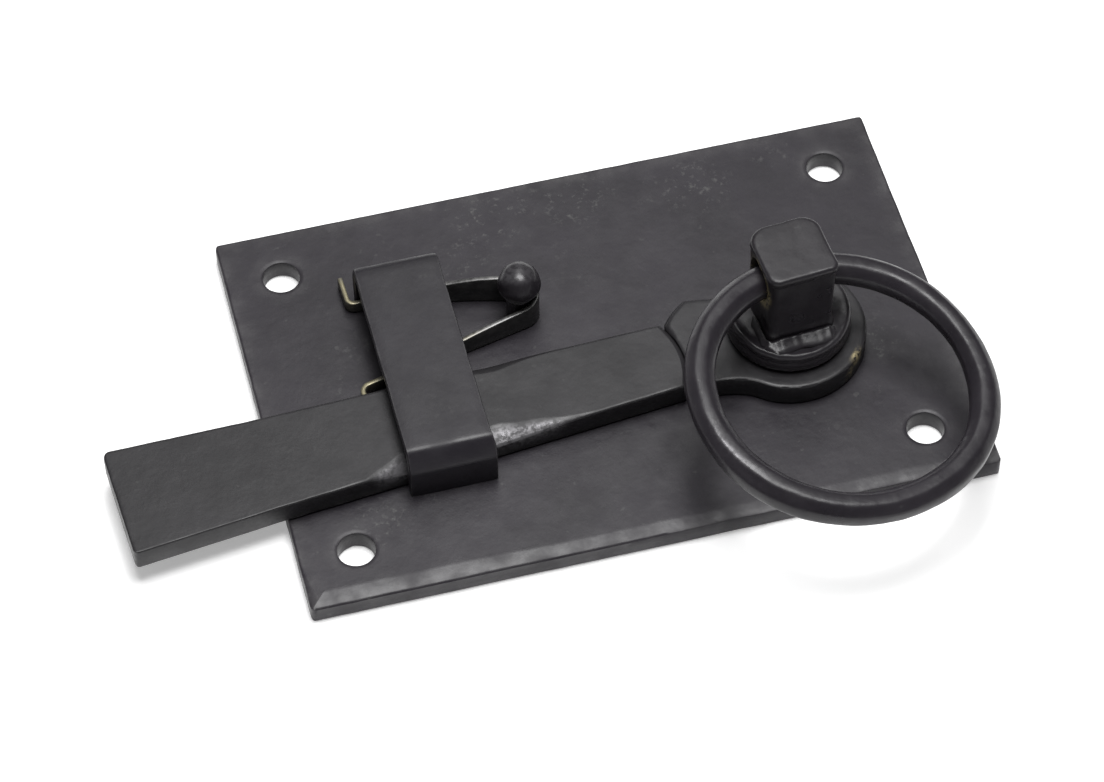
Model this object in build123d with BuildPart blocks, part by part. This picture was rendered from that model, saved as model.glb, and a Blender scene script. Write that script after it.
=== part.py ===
"""Ring-handle plate latch, forged: backplate, keeper, sprung latch bar, spindle and ring handle.

Units are millimetres. The plate lies in XY with its back face at z = 0 and +Z pointing out of the
door. The origin is the centre of the plate's back face. +X runs along the plate, away from the
latch bar's free end, and +Y is the direction in which the bar lifts.
"""
import os
from math import cos, radians, sin

from build123d import *

# ---- Driving dimensions ------------------------------------------------------------------------

# Backplate: 6 x 4 inch plate
PLATE_LENGTH = 152.4
PLATE_WIDTH = 101.6
PLATE_THICKNESS = 5.0
PLATE_CORNER_RADIUS = 1.5
FRONT_BEVEL_WIDTH = 3.2
FRONT_BEVEL_DROP = 1.0
SCREW_SPACING_X = 127.0
SCREW_SPACING_Y = 76.2
SCREW_HOLE_DIAMETER = 8.2
WASHER_POCKET_DIAMETER = 22.4
WASHER_POCKET_DEPTH = 2.0

# Latch axis, through the spindle
PIVOT_X = 40.9
PIVOT_Y = -7.7
BAR_TILT = 3.75        # degrees that the bar's free end hangs down at rest
BAR_GAP = 0.3          # running gap between the plate and what slides over it
BAR_THICKNESS = 5.7

# Latch bar, in its own frame: x = 0 at the latch axis, the free end towards -x
BAR_TIP = 152.0
BAR_TIP_HALF_WIDTH = 14.0
BAR_FLARE = 118.0      # the even taper ends here and a slight flare runs on to the tip
BAR_FLARE_HALF_WIDTH = 12.13
BAR_ROOT = 26.7
BAR_ROOT_HALF_WIDTH = 8.9
BAR_ROOT_BOW = 2.2     # how far the rounded root stands out in its middle
BAR_TIP_CORNER = 2.4
BAR_CHAMFER = 0.5

# Eye at the root of the bar
EYE_RADIUS = 17.5
EYE_NECK = ((-17.0, -10.4), (-9.5, -14.7))              # waist, then where it meets the round
EYE_EAR = ((-13.0, 11.6), (-19.7, 14.4), (-23.0, 11.4))   # forged lug on the lifting side
EYE_NECK_FILLET = 12.0

# Collar and spindle
COLLAR_RADIUS = 13.9
COLLAR_HEIGHT = 6.5
COLLAR_CHAMFER = 0.8
SHANK_SIDE = 13.0
SHANK_CLEARANCE = 0.1
JOURNAL_RADIUS = 6.5
JOURNAL_CLEARANCE = 0.06
HEAD_SIDE = 16.0
HEAD_TOP = 37.8
HEAD_CORNER = 2.2
HEAD_CHAMFER = 0.9
TAIL_RECESS = 0.3      # how far the spindle's end stays behind the plate's back face
PEEN_HEIGHT = 0.8
PEEN_FLARE = 0.8
WASHER_RADIUS = 10.8
WASHER_TOP = 1.8

# Ring
RING_RADIUS = 30.7     # of the bar's centre line
RING_BAR_RADIUS = 3.55
RING_AXIS_HEIGHT = 29.5
RING_YAW = 5.2         # degrees that the head and its cross hole are turned from X
RING_ROLL = -5.3       # degrees that the cross hole is out of level
RING_DROOP = 5.1       # degrees that the ring hangs below level at rest
HOLE_CLEARANCE = 0.3

# Keeper: strap bent to a staple over the bar
KEEPER_X = -39.6
KEEPER_WIDTH = 19.0
KEEPER_STRAP = 2.9
KEEPER_FRONT = -28.0
KEEPER_REAR = 28.5
KEEPER_TOP = 17.5
KEEPER_OUTER_BEND = 3.2
KEEPER_INNER_BEND = 0.8
TENON_WIDTH = 9.0
TENON_FLARE = 1.0
TENON_FLARE_HEIGHT = 1.5

# Hairpin spring and its knob
SPRING_STRIP = 1.2
BOW_X = -14.4
BOW_Y = 14.4
BOW_RADIUS = 3.9       # of the strip's centre line
SPRING_BASE = PLATE_THICKNESS + BAR_GAP
SPRING_TOP_AT_BOW = 13.2
UPPER_LEAF_TOP = ((-16.5, 13.2), (-50.0, 8.3), (-53.0, 8.3))   # x, height of the tapered strip
LOWER_LEAF_TOP = ((-12.0, 11.6), (-20.0, 10.2), (-55.0, 8.3))
UPPER_LEAF_ANGLE = 18.0
UPPER_LEAF_END = (-49.5, 24.5)
TAB_BEND = 1.6
TAB_TURN = -86.0
TAB_LENGTH = 6.0
LOWER_LEAF_ANGLE = 12.9
LOWER_LEAF_LENGTH = 39.0
CURL_RADIUS = 2.1
CURL_TURN = 128.0
LEAF_GAP_ANGLE = 3.0   # degrees of bow left out where the moving leaf begins
KNOB_RADIUS = 4.55
KNOB_CENTRE = 16.2
KNOB_STEM_RADIUS = 3.0

# ---- Derived places ----------------------------------------------------------------------------

BAR_BASE = PLATE_THICKNESS + BAR_GAP
BAR_TOP = BAR_BASE + BAR_THICKNESS
COLLAR_TOP = BAR_TOP + COLLAR_HEIGHT
PIVOT = (PIVOT_X, PIVOT_Y)


def bar_plane(height):
    """The bar's own frame: origin on the latch axis, turned by the tilt that the bar has at rest."""
    along = (cos(radians(BAR_TILT)), sin(radians(BAR_TILT)), 0)
    return Plane(origin=(PIVOT_X, PIVOT_Y, height), x_dir=along, z_dir=(0, 0, 1))


def head_plane(height):
    """The squared head's frame: origin on the latch axis, turned with the cross hole."""
    along = (cos(radians(RING_YAW)), sin(radians(RING_YAW)), 0)
    return Plane(origin=(PIVOT_X, PIVOT_Y, height), x_dir=along, z_dir=(0, 0, 1))


def ring_frame():
    """Origin where the ring crosses the latch axis, x along the cross hole, z square to the ring."""
    hole = Vector(1, 0, 0).rotate(Axis.Y, -RING_ROLL).rotate(Axis.Z, RING_YAW)
    rear = Vector(0, 1, 0).rotate(Axis.Z, RING_YAW)
    normal = hole.cross(rear).rotate(Axis((0, 0, 0), hole), RING_DROOP)
    return Plane(origin=(PIVOT_X, PIVOT_Y, RING_AXIS_HEIGHT), x_dir=hole, z_dir=normal)


def save(piece, label):
    """Name a finished piece and write it as its own STEP file."""
    piece.part.label = label
    export_step(piece.part, f"parts/{label}.step")


os.makedirs("parts", exist_ok=True)

# ---- Backplate ---------------------------------------------------------------------------------

KEEPER_LEGS = [(KEEPER_X, KEEPER_FRONT + KEEPER_STRAP / 2), (KEEPER_X, KEEPER_REAR - KEEPER_STRAP / 2)]


def tenon_section(leg, height, growth):
    """Section of one of the keeper's tenons at a height, grown on every side."""
    with BuildSketch(Plane.XY.offset(height)) as section:
        with Locations(leg):
            Rectangle(TENON_WIDTH + 2 * growth, KEEPER_STRAP + 2 * growth)
    return section.sketch.face()


with BuildPart() as backplate:
    with BuildSketch():
        Rectangle(PLATE_LENGTH, PLATE_WIDTH)
        fillet(vertices(), PLATE_CORNER_RADIUS)
    extrude(amount=PLATE_THICKNESS)
    # forged bevel along the front edge
    with BuildSketch(Plane.YZ):
        Polygon(
            (-PLATE_WIDTH / 2, PLATE_THICKNESS),
            (-PLATE_WIDTH / 2 + FRONT_BEVEL_WIDTH, PLATE_THICKNESS),
            (-PLATE_WIDTH / 2, PLATE_THICKNESS - FRONT_BEVEL_DROP),
            align=None,
        )
    extrude(amount=PLATE_LENGTH, both=True, mode=Mode.SUBTRACT)
    with GridLocations(SCREW_SPACING_X, SCREW_SPACING_Y, 2, 2):
        Hole(SCREW_HOLE_DIAMETER / 2)
    with Locations(PIVOT):
        Hole(JOURNAL_RADIUS + JOURNAL_CLEARANCE)
    with BuildSketch():
        with Locations(PIVOT):
            Circle(WASHER_POCKET_DIAMETER / 2)
    extrude(amount=WASHER_POCKET_DEPTH, mode=Mode.SUBTRACT)
    # slots for the keeper's tenons, flared at the back for the peening
    for leg in KEEPER_LEGS:
        slot = tenon_section(leg, TENON_FLARE_HEIGHT, 0)
        mouth = tenon_section(leg, 0, TENON_FLARE)
        loft([mouth, slot], mode=Mode.SUBTRACT)
        extrude(slot, amount=PLATE_THICKNESS, mode=Mode.SUBTRACT)
save(backplate, "backplate")

# ---- Keeper ------------------------------------------------------------------------------------

with BuildPart() as keeper:
    with BuildSketch(Plane.YZ.offset(KEEPER_X - KEEPER_WIDTH / 2)):
        with BuildLine():
            FilletPolyline(
                (KEEPER_FRONT, PLATE_THICKNESS),
                (KEEPER_FRONT, KEEPER_TOP),
                (KEEPER_REAR, KEEPER_TOP),
                (KEEPER_REAR, PLATE_THICKNESS),
                radius=KEEPER_OUTER_BEND,
            )
            FilletPolyline(
                (KEEPER_REAR - KEEPER_STRAP, PLATE_THICKNESS),
                (KEEPER_REAR - KEEPER_STRAP, KEEPER_TOP - KEEPER_STRAP),
                (KEEPER_FRONT + KEEPER_STRAP, KEEPER_TOP - KEEPER_STRAP),
                (KEEPER_FRONT + KEEPER_STRAP, PLATE_THICKNESS),
                radius=KEEPER_INNER_BEND,
            )
            Line((KEEPER_REAR, PLATE_THICKNESS), (KEEPER_REAR - KEEPER_STRAP, PLATE_THICKNESS))
            Line((KEEPER_FRONT + KEEPER_STRAP, PLATE_THICKNESS), (KEEPER_FRONT, PLATE_THICKNESS))
        make_face()
    extrude(amount=KEEPER_WIDTH)
    for leg in KEEPER_LEGS:
        neck = tenon_section(leg, TENON_FLARE_HEIGHT, 0)
        peen = tenon_section(leg, 0, TENON_FLARE)
        loft([peen, neck])
        extrude(neck, amount=PLATE_THICKNESS - TENON_FLARE_HEIGHT)
save(keeper, "keeper")

# ---- Latch bar ---------------------------------------------------------------------------------

ROOT_CORNERS = ((-BAR_ROOT, BAR_ROOT_HALF_WIDTH), (-BAR_ROOT, -BAR_ROOT_HALF_WIDTH))
ROOT_MIDDLE = (-BAR_ROOT + BAR_ROOT_BOW, 0)

with BuildPart() as latch_bar:
    with BuildSketch(bar_plane(BAR_BASE)):
        with BuildLine():
            ThreePointArc(ROOT_CORNERS[0], ROOT_MIDDLE, ROOT_CORNERS[1])
            Polyline(
                ROOT_CORNERS[1],
                (-BAR_FLARE, -BAR_FLARE_HALF_WIDTH),
                (-BAR_TIP, -BAR_TIP_HALF_WIDTH),
                (-BAR_TIP, BAR_TIP_HALF_WIDTH),
                (-BAR_FLARE, BAR_FLARE_HALF_WIDTH),
                ROOT_CORNERS[0],
            )
        make_face()
        fillet(vertices().sort_by(Axis.X)[:2], BAR_TIP_CORNER)
    extrude(amount=BAR_THICKNESS)
    chamfer(faces().sort_by(Axis.Z)[-1].edges(), BAR_CHAMFER)
save(latch_bar, "latch_bar")

# ---- Bar eye: carries the bar on the spindle -----------------------------------------------------

with BuildPart() as bar_eye:
    with BuildSketch(bar_plane(BAR_BASE)):
        Circle(EYE_RADIUS)
        with BuildLine():
            ThreePointArc(ROOT_CORNERS[0], ROOT_MIDDLE, ROOT_CORNERS[1])
            FilletPolyline(ROOT_CORNERS[1], *EYE_NECK, radius=EYE_NECK_FILLET)
            Polyline(EYE_NECK[-1], (0, 0), *EYE_EAR, ROOT_CORNERS[0])
        make_face()
    extrude(amount=BAR_THICKNESS)
    with BuildSketch(head_plane(BAR_BASE)):
        Rectangle(SHANK_SIDE + 2 * SHANK_CLEARANCE, SHANK_SIDE + 2 * SHANK_CLEARANCE)
    extrude(amount=BAR_THICKNESS, mode=Mode.SUBTRACT)
save(bar_eye, "bar_eye")

# ---- Collar between the eye and the squared head -------------------------------------------------

with BuildPart() as collar:
    with BuildSketch(head_plane(BAR_TOP)):
        Circle(COLLAR_RADIUS)
        Rectangle(
            SHANK_SIDE + 2 * SHANK_CLEARANCE,
            SHANK_SIDE + 2 * SHANK_CLEARANCE,
            mode=Mode.SUBTRACT,
        )
    extrude(amount=COLLAR_HEIGHT)
    rim = edges().filter_by(GeomType.CIRCLE).sort_by(Axis.Z)[-1]
    chamfer(rim, COLLAR_CHAMFER)
save(collar, "collar")

# ---- Spindle: squared head, square shank, round journal and peened tail --------------------------

latch_axis = Axis((PIVOT_X, PIVOT_Y, 0), (0, 0, 1))
axial_plane = Plane(origin=(PIVOT_X, PIVOT_Y, 0), x_dir=(1, 0, 0), z_dir=(0, -1, 0))
TAIL_TOP = TAIL_RECESS + PEEN_HEIGHT
HOLE_HALF_LENGTH = HEAD_SIDE * 0.75


def bell_radius(along):
    """Radius that the cross hole needs at a distance from its middle to let the ring swing."""
    ring_inside = RING_RADIUS - RING_BAR_RADIUS
    return RING_RADIUS - (ring_inside**2 - along**2) ** 0.5 + HOLE_CLEARANCE


with BuildPart() as spindle:
    with BuildSketch(head_plane(COLLAR_TOP)):
        RectangleRounded(HEAD_SIDE, HEAD_SIDE, HEAD_CORNER)
    extrude(amount=HEAD_TOP - COLLAR_TOP)
    chamfer(faces().sort_by(Axis.Z)[-1].edges(), HEAD_CHAMFER)
    with BuildSketch(head_plane(BAR_BASE)):
        Rectangle(SHANK_SIDE, SHANK_SIDE)
    extrude(amount=COLLAR_TOP - BAR_BASE)
    with BuildSketch(axial_plane):
        Polygon(
            (0, TAIL_RECESS),
            (JOURNAL_RADIUS + PEEN_FLARE, TAIL_RECESS),
            (JOURNAL_RADIUS, TAIL_TOP),
            (JOURNAL_RADIUS, BAR_BASE),
            (0, BAR_BASE),
            align=None,
        )
    revolve(axis=latch_axis)
    # bell-mouthed cross hole for the ring
    with BuildSketch(ring_frame()):
        with BuildLine():
            mouth_radius = bell_radius(HOLE_HALF_LENGTH)
            ThreePointArc(
                (-HOLE_HALF_LENGTH, mouth_radius),
                (0, bell_radius(0)),
                (HOLE_HALF_LENGTH, mouth_radius),
            )
            Polyline(
                (HOLE_HALF_LENGTH, mouth_radius),
                (HOLE_HALF_LENGTH, 0),
                (-HOLE_HALF_LENGTH, 0),
                (-HOLE_HALF_LENGTH, mouth_radius),
            )
        make_face()
    revolve(axis=Axis(ring_frame().origin, ring_frame().x_dir), mode=Mode.SUBTRACT)
save(spindle, "spindle")

# ---- Rear washer, sunk in the back of the plate --------------------------------------------------

with BuildPart() as rear_washer:
    with BuildSketch(axial_plane):
        Polygon(
            (JOURNAL_RADIUS + PEEN_FLARE, TAIL_RECESS),
            (WASHER_RADIUS, TAIL_RECESS),
            (WASHER_RADIUS, WASHER_TOP),
            (JOURNAL_RADIUS, WASHER_TOP),
            (JOURNAL_RADIUS, TAIL_TOP),
            align=None,
        )
    revolve(axis=latch_axis)
save(rear_washer, "rear_washer")

# ---- Ring --------------------------------------------------------------------------------------

ring_centre = ring_frame().origin - ring_frame().y_dir * RING_RADIUS
ring_plane = Plane(origin=ring_centre, x_dir=ring_frame().x_dir, z_dir=ring_frame().z_dir)

with BuildPart() as ring:
    with BuildSketch(Plane(origin=ring_centre, x_dir=ring_plane.x_dir, z_dir=ring_plane.y_dir)):
        with Locations((RING_RADIUS, 0)):
            Circle(RING_BAR_RADIUS)
    revolve(axis=Axis(ring_centre, ring_plane.z_dir))
save(ring, "ring")

# ---- Hairpin spring ----------------------------------------------------------------------------

LOWER_LEAF_START = LOWER_LEAF_ANGLE - 90
UPPER_LEAF_START = 90 - UPPER_LEAF_ANGLE
LOWER_LEAF_ROOT = Vector(BOW_X, BOW_Y) + Vector(BOW_RADIUS, 0).rotate(Axis.Z, LOWER_LEAF_START)
LOWER_LEAF_HEADING = Vector(-1, 0).rotate(Axis.Z, LOWER_LEAF_ANGLE)


def taper(top_line):
    """Side view of a leaf: flat underneath, its upper edge falling towards the free end."""
    (first_x, first_height), (last_x, _) = top_line[0], top_line[-1]
    with BuildSketch(Plane.XZ) as side:
        Polygon(
            (first_x + KNOB_RADIUS * 3, SPRING_BASE),
            (first_x + KNOB_RADIUS * 3, first_height),
            *top_line,
            (last_x, SPRING_BASE),
            align=None,
        )
    return side.sketch.face()


with BuildPart() as spring_upper_leaf:
    with BuildSketch(Plane.XY.offset(SPRING_BASE)):
        with BuildLine():
            bow = CenterArc(
                (BOW_X, BOW_Y),
                BOW_RADIUS,
                LOWER_LEAF_START + LEAF_GAP_ANGLE,
                UPPER_LEAF_START - LOWER_LEAF_START - LEAF_GAP_ANGLE,
            )
            upper = TangentArc(bow @ 1, UPPER_LEAF_END, tangent=bow % 1)
            bend = JernArc(upper @ 1, upper % 1, TAB_BEND, TAB_TURN)
            Line(bend @ 1, bend @ 1 + (bend % 1) * TAB_LENGTH)
        trace(line_width=SPRING_STRIP)
    extrude(amount=SPRING_TOP_AT_BOW - SPRING_BASE)
    extrude(taper(UPPER_LEAF_TOP), amount=PLATE_WIDTH, both=True, mode=Mode.INTERSECT)
save(spring_upper_leaf, "spring_upper_leaf")

with BuildPart() as spring_lower_leaf:
    with BuildSketch(Plane.XY.offset(SPRING_BASE)):
        with BuildLine():
            leaf = Line(LOWER_LEAF_ROOT, LOWER_LEAF_ROOT + LOWER_LEAF_HEADING * LOWER_LEAF_LENGTH)
            JernArc(leaf @ 1, leaf % 1, CURL_RADIUS, CURL_TURN)
        trace(line_width=SPRING_STRIP)
    extrude(amount=SPRING_TOP_AT_BOW - SPRING_BASE)
    extrude(taper(LOWER_LEAF_TOP), amount=PLATE_WIDTH, both=True, mode=Mode.INTERSECT)
save(spring_lower_leaf, "spring_lower_leaf")

# ---- Knob on the spring's bow --------------------------------------------------------------------

knob_flat = (KNOB_RADIUS**2 - (KNOB_CENTRE - SPRING_TOP_AT_BOW) ** 2) ** 0.5

with BuildPart() as spring_knob:
    with BuildSketch(Plane(origin=(BOW_X, BOW_Y, 0), x_dir=(1, 0, 0), z_dir=(0, -1, 0))):
        with BuildLine():
            ThreePointArc(
                (0, KNOB_CENTRE + KNOB_RADIUS),
                (KNOB_RADIUS, KNOB_CENTRE),
                (knob_flat, SPRING_TOP_AT_BOW),
            )
            Polyline(
                (knob_flat, SPRING_TOP_AT_BOW),
                (KNOB_STEM_RADIUS, SPRING_TOP_AT_BOW),
                (KNOB_STEM_RADIUS, SPRING_BASE),
                (0, SPRING_BASE),
                (0, KNOB_CENTRE + KNOB_RADIUS),
            )
        make_face()
    revolve(axis=Axis((BOW_X, BOW_Y, 0), (0, 0, 1)))
save(spring_knob, "spring_knob")
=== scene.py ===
"""Looks of the ring-handle plate latch: forged iron with a dark wax finish, on a white studio floor.

Lengths in the mesh code are millimetres in the part's own frame and become metres when a mesh is made.
"""
from math import atan2, cos, degrees, exp, hypot, pi, radians, sin, sqrt

import bmesh
import bpy
from mathutils import Matrix, Quaternion, Vector, noise


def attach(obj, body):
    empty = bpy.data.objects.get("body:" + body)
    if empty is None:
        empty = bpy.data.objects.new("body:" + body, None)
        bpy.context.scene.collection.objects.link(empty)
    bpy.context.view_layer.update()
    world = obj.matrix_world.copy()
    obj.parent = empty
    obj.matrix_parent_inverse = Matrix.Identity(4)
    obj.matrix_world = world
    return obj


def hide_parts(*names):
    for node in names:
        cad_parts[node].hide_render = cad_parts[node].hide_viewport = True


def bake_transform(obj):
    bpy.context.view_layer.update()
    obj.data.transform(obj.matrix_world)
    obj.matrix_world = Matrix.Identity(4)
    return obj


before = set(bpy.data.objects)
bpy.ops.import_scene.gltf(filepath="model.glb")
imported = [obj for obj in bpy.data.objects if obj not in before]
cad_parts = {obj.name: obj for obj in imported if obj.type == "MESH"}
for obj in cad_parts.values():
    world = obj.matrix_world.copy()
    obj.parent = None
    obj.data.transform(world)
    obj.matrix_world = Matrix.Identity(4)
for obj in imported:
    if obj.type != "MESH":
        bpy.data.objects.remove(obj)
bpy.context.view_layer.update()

# ---- Dimensions shared with the CAD model -------------------------------------------------------

PLATE_LENGTH = 152.4
PLATE_WIDTH = 101.6
PLATE_THICKNESS = 5.0
PLATE_CORNER = 1.5
SCREW_X = 63.5
SCREW_Y = 38.1
SCREW_RADIUS = 4.1
POCKET_RADIUS = 11.2
POCKET_DEPTH = 2.0
JOURNAL_HOLE = 6.56
PIVOT = Vector((40.9, -7.7, 0))
BAR_TILT = radians(3.75)
BAR_BASE = 5.3
BAR_TOP = 11.0
BAR_ROOT, BAR_ROOT_HALF = 26.7, 8.9
BAR_ROOT_CROWN = 2.2
BAR_FLARE, BAR_FLARE_HALF = 118.0, 12.13
BAR_TIP, BAR_TIP_HALF = 152.0, 14.0
EYE_RADIUS = 17.5
RING_AXIS_HEIGHT = 29.5
RING_YAW = radians(5.2)
RING_ROLL = radians(5.3)
RING_DROOP = radians(5.1)
RING_RADIUS = 30.7
RING_BAR = 3.55
KEEPER_X = -39.6
KEEPER_HALF = 9.5
TENON_PLACES = (-26.55, 27.05)
TENON_HALF_WIDTH = 4.5
TENON_HALF_THICKNESS = 1.45
BOW = Vector((-14.4, 14.4, 0))
BOW_RADIUS = 3.9
KNOB_RADIUS = 4.8
KNOB_CENTRE = 16.2

# Signs of a rectangle's corners in turn, and the angle at which each corner's arc starts
CORNERS = ((1, -1, -90), (1, 1, 0), (-1, 1, 90), (-1, -1, 180))

# ---- Small tools --------------------------------------------------------------------------------


def smooth(low, high, value):
    """0 below low, 1 above high, smooth between."""
    t = min(1.0, max(0.0, (value - low) / (high - low)))
    return t * t * (3 - 2 * t)


def bump(value, centre, width):
    """A bell of height 1 round centre."""
    return exp(-((value - centre) / width) ** 2)


def wobble(point, size, seed):
    """Smooth noise from -1 to 1 with features of that size in mm."""
    return noise.noise(Vector(point) / size + Vector((seed * 7.3, seed * 3.1, seed * 5.7)))


def angle_bump(angle, centre, width):
    """A bell of height 1 round an angle in degrees, measured the short way round."""
    return bump((angle - centre + 180) % 360 - 180, 0, width)


def turned(x, y, z, angle):
    """Place in the part's frame of a point in a frame turned by angle about the latch axis."""
    c, s = cos(angle), sin(angle)
    return Vector((PIVOT.x + x * c - y * s, PIVOT.y + x * s + y * c, z))


def on_bar(x, y, z):
    return turned(x, y, z, BAR_TILT)


def on_head(x, y, z):
    return turned(x, y, z, RING_YAW)


def line(a, b, step):
    """Points from a up to but not including b, about a step apart."""
    a, b = Vector(a), Vector(b)
    count = max(1, round((b - a).length / step))
    return [a.lerp(b, i / count) for i in range(count)]


def arc(centre, radius, start, end, count):
    """Points on an arc in degrees, both ends included."""
    turn = [radians(start + (end - start) * i / (count - 1)) for i in range(count)]
    return [Vector((centre[0] + radius * cos(t), centre[1] + radius * sin(t))) for t in turn]


def outward(points):
    """Unit normals pointing out of a closed anticlockwise outline."""
    normals = []
    for i in range(len(points)):
        along = points[(i + 1) % len(points)] - points[i - 1]
        normals.append(Vector((along.y, -along.x)).normalized())
    return normals


def relax(points, rounds):
    """Rounds the corners of a closed outline by averaging neighbours."""
    for _ in range(rounds):
        count = len(points)
        points = [
            (points[i - 1] + points[i] * 2 + points[(i + 1) % count]) / 4 for i in range(count)
        ]
    return points


class Mesh:
    """Collects loops of points, in mm, and the faces between them."""

    def __init__(self):
        self.bm = bmesh.new()

    def loop(self, points):
        return [self.bm.verts.new(Vector(p) * 0.001) for p in points]

    def skin(self, loops, closed=True):
        """Quads between successive loops with equal counts."""
        for a, b in zip(loops, loops[1:]):
            count = len(a)
            for i in range(count if closed else count - 1):
                j = (i + 1) % count
                self.bm.faces.new((a[i], a[j], b[j], b[i]))

    def cap(self, *rims):
        """Fills the flat area between closed rims."""
        edges = []
        for rim in rims:
            for i, vertex in enumerate(rim):
                ends = (vertex, rim[(i + 1) % len(rim)])
                edges.append(self.bm.edges.get(ends) or self.bm.edges.new(ends))
        bmesh.ops.triangle_fill(self.bm, use_beauty=True, edges=edges)

    def fan(self, rim, centre):
        """Triangles from a closed rim to one point."""
        middle = self.bm.verts.new(Vector(centre) * 0.001)
        for i, vertex in enumerate(rim):
            self.bm.faces.new((vertex, rim[(i + 1) % len(rim)], middle))

    def done(self, name, material, crease=40):
        bmesh.ops.remove_doubles(self.bm, verts=self.bm.verts, dist=2e-6)
        bmesh.ops.recalc_face_normals(self.bm, faces=self.bm.faces)
        mesh = bpy.data.meshes.new(name)
        self.bm.to_mesh(mesh)
        self.bm.free()
        mesh.polygons.foreach_set("use_smooth", [True] * len(mesh.polygons))
        mesh.set_sharp_from_angle(angle=radians(crease))
        piece = bpy.data.objects.new(name, mesh)
        bpy.context.scene.collection.objects.link(piece)
        mesh.materials.append(material)
        return piece


# ---- Materials ----------------------------------------------------------------------------------


def set_range(node, *limits):
    """Sets a Map Range node's limits: from low, from high, to low, to high."""
    for socket, number in zip(("From Min", "From Max", "To Min", "To Max"), limits):
        node.inputs[socket].default_value = number


class Nodes:
    """Adds shader nodes to one material and joins them."""

    def __init__(self, name):
        self.material = bpy.data.materials.new(name)
        self.material.use_nodes = True
        self.tree = self.material.node_tree
        self.shader = self.tree.nodes["Principled BSDF"]
        self.place = self.add("ShaderNodeTexCoord").outputs["Object"]

    def add(self, kind, **settings):
        node = self.tree.nodes.new(kind)
        for name, value in settings.items():
            setattr(node, name, value)
        return node

    def plug(self, value, socket):
        if isinstance(value, bpy.types.NodeSocket):
            self.tree.links.new(value, socket)
        else:
            socket.default_value = value

    def noise(self, size, detail=3.0, rough=0.55, seed=0.0, stretch=(1, 1, 1)):
        """Noise with features of that size in mm."""
        mapping = self.add("ShaderNodeMapping")
        self.plug(self.place, mapping.inputs["Vector"])
        mapping.inputs["Location"].default_value = (seed, seed * 0.7, seed * 1.3)
        mapping.inputs["Scale"].default_value = stretch
        node = self.add("ShaderNodeTexNoise")
        self.plug(mapping.outputs[0], node.inputs["Vector"])
        node.inputs["Scale"].default_value = 1000 / size
        node.inputs["Detail"].default_value = detail
        node.inputs["Roughness"].default_value = rough
        return node.outputs["Fac"]

    def span(self, value, low, high, to_low=0.0, to_high=1.0):
        node = self.add("ShaderNodeMapRange", interpolation_type="SMOOTHSTEP")
        self.plug(value, node.inputs["Value"])
        set_range(node, low, high, to_low, to_high)
        return node.outputs["Result"]

    def math(self, kind, a, b):
        node = self.add("ShaderNodeMath", operation=kind)
        self.plug(a, node.inputs[0])
        self.plug(b, node.inputs[1])
        return node.outputs[0]

    def blend(self, share, a, b):
        node = self.add("ShaderNodeMix", data_type="RGBA")
        self.plug(share, node.inputs["Factor"])
        self.plug(a, node.inputs[6])
        self.plug(b, node.inputs[7])
        return node.outputs[2]

    def near(self, centre, reach):
        """1 at a place given in mm, falling to 0 at reach."""
        gap = self.add("ShaderNodeVectorMath", operation="DISTANCE")
        self.plug(self.place, gap.inputs[0])
        gap.inputs[1].default_value = [c * 0.001 for c in centre]
        return self.span(gap.outputs["Value"], reach * 0.001, reach * 0.0003)

    def attribute(self, name):
        return self.add("ShaderNodeAttribute", attribute_name=name).outputs["Fac"]

    def edges(self, reach):
        """How far the surface turns within a reach in mm: 0 on flats, towards 1 on sharp edges."""
        rounded = self.add("ShaderNodeBevel", samples=6)
        rounded.inputs["Radius"].default_value = reach * 0.001
        geometry = self.add("ShaderNodeNewGeometry")
        dot = self.add("ShaderNodeVectorMath", operation="DOT_PRODUCT")
        self.plug(rounded.outputs[0], dot.inputs[0])
        self.plug(geometry.outputs["Normal"], dot.inputs[1])
        return self.math("SUBTRACT", 1.0, dot.outputs["Value"])

    def relief(self, height, strength, distance, over=None):
        """Bump that lifts the surface by distance in metres, laid over an earlier bump."""
        node = self.add("ShaderNodeBump")
        node.inputs["Strength"].default_value = strength
        node.inputs["Distance"].default_value = distance
        self.plug(height, node.inputs["Height"])
        if over is not None:
            self.plug(over, node.inputs["Normal"])
        return node.outputs[0]


def grey(level, warm=0.0):
    return (level * (1.0 + warm), level, level * (1.0 - warm), 1.0)


WAX_BLOOM = (0.085, 0.085, 0.083, 1)
WAX_SPECK = (0.065, 0.065, 0.064, 1)
# Lighter grey on edges: worn wax together with a painted edge highlight
EDGE_WEAR_AND_HIGHLIGHT = (0.115, 0.112, 0.112, 1)
BARE_METAL = (0.40, 0.34, 0.19, 1)
# Lighter iron for rubbed places, also used as a painted highlight
RUBBED_IRON_AND_HIGHLIGHT = (0.105, 0.102, 0.108, 1)
HEATED_STEEL = (0.21, 0.19, 0.125, 1)


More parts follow.
